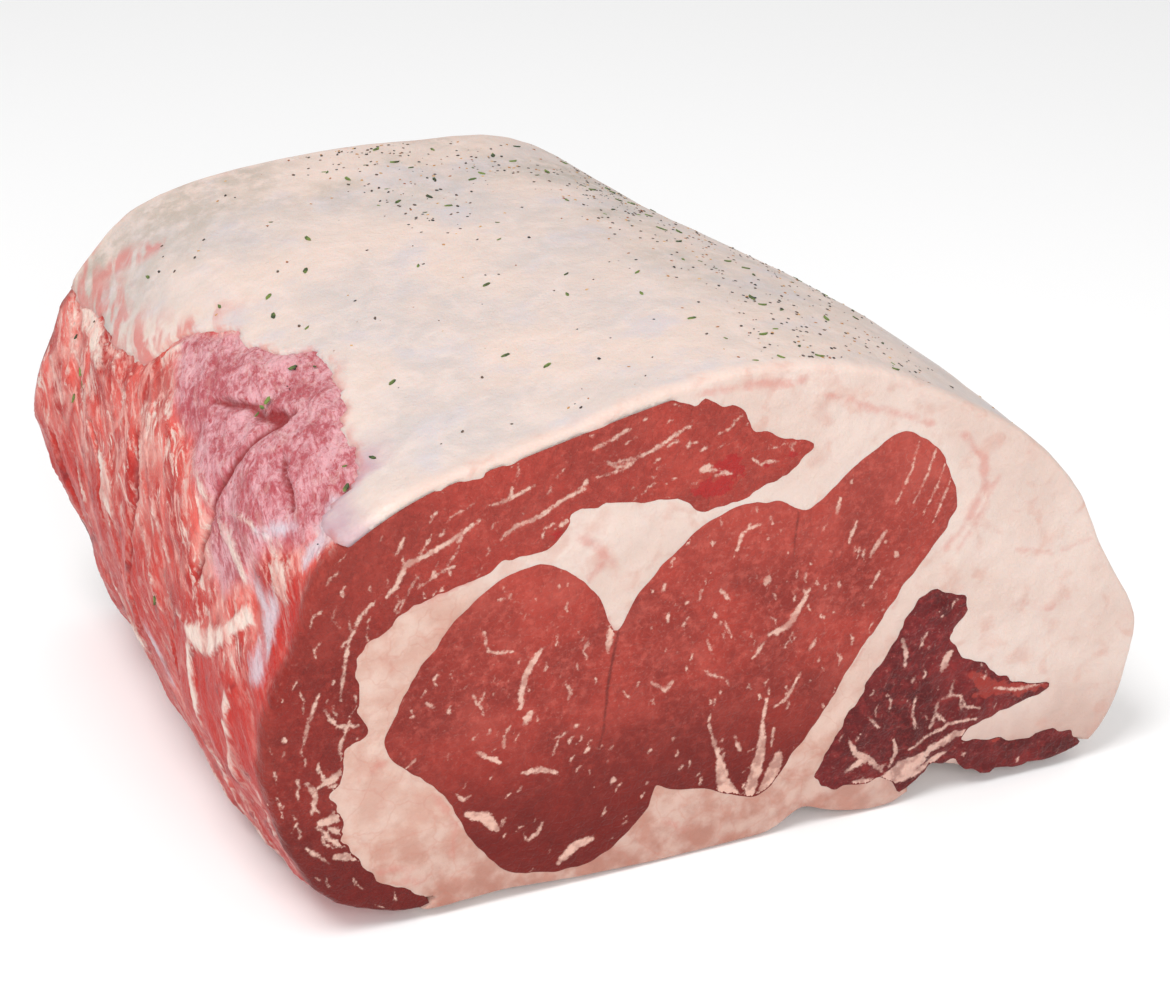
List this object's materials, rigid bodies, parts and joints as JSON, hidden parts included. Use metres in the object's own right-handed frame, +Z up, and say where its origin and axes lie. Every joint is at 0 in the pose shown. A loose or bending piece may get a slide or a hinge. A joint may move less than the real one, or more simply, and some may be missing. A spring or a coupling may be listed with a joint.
{
  "type": "beef rib roast",
  "caption": "Raw boneless beef rib roast lying fat side up, cut square at both ends, with marbled rib eye, rib cap and chine muscle running through it.",
  "frame": {"origin": "middle of the box round the roast, at its underside", "axes": "+X across the cut face towards the chine side, +Y along the grain from the front cut to the back cut, +Z up through the fat cap"},
  "size_m": [0.2526, 0.178, 0.135],
  "materials": {
    "fat": "raw beef fat, soft, smooth and slightly moist",
    "rib_eye": "raw lean beef, fine grain, marbled, moist",
    "rib_cap": "raw lean beef, coarse grain, streaked with fat, moist",
    "chine_muscle": "dark raw lean beef, moist",
    "herb": "dried green herb flecks",
    "pepper": "cracked black and brown pepper",
    "spice": "pale tan spice crumbs"
  },
  "bodies": {
    "root": {"fat": "fat", "rib_eye": "rib_eye", "rib_cap": "rib_cap", "chine_muscle": "chine_muscle"}
  },
  "joints": []
}
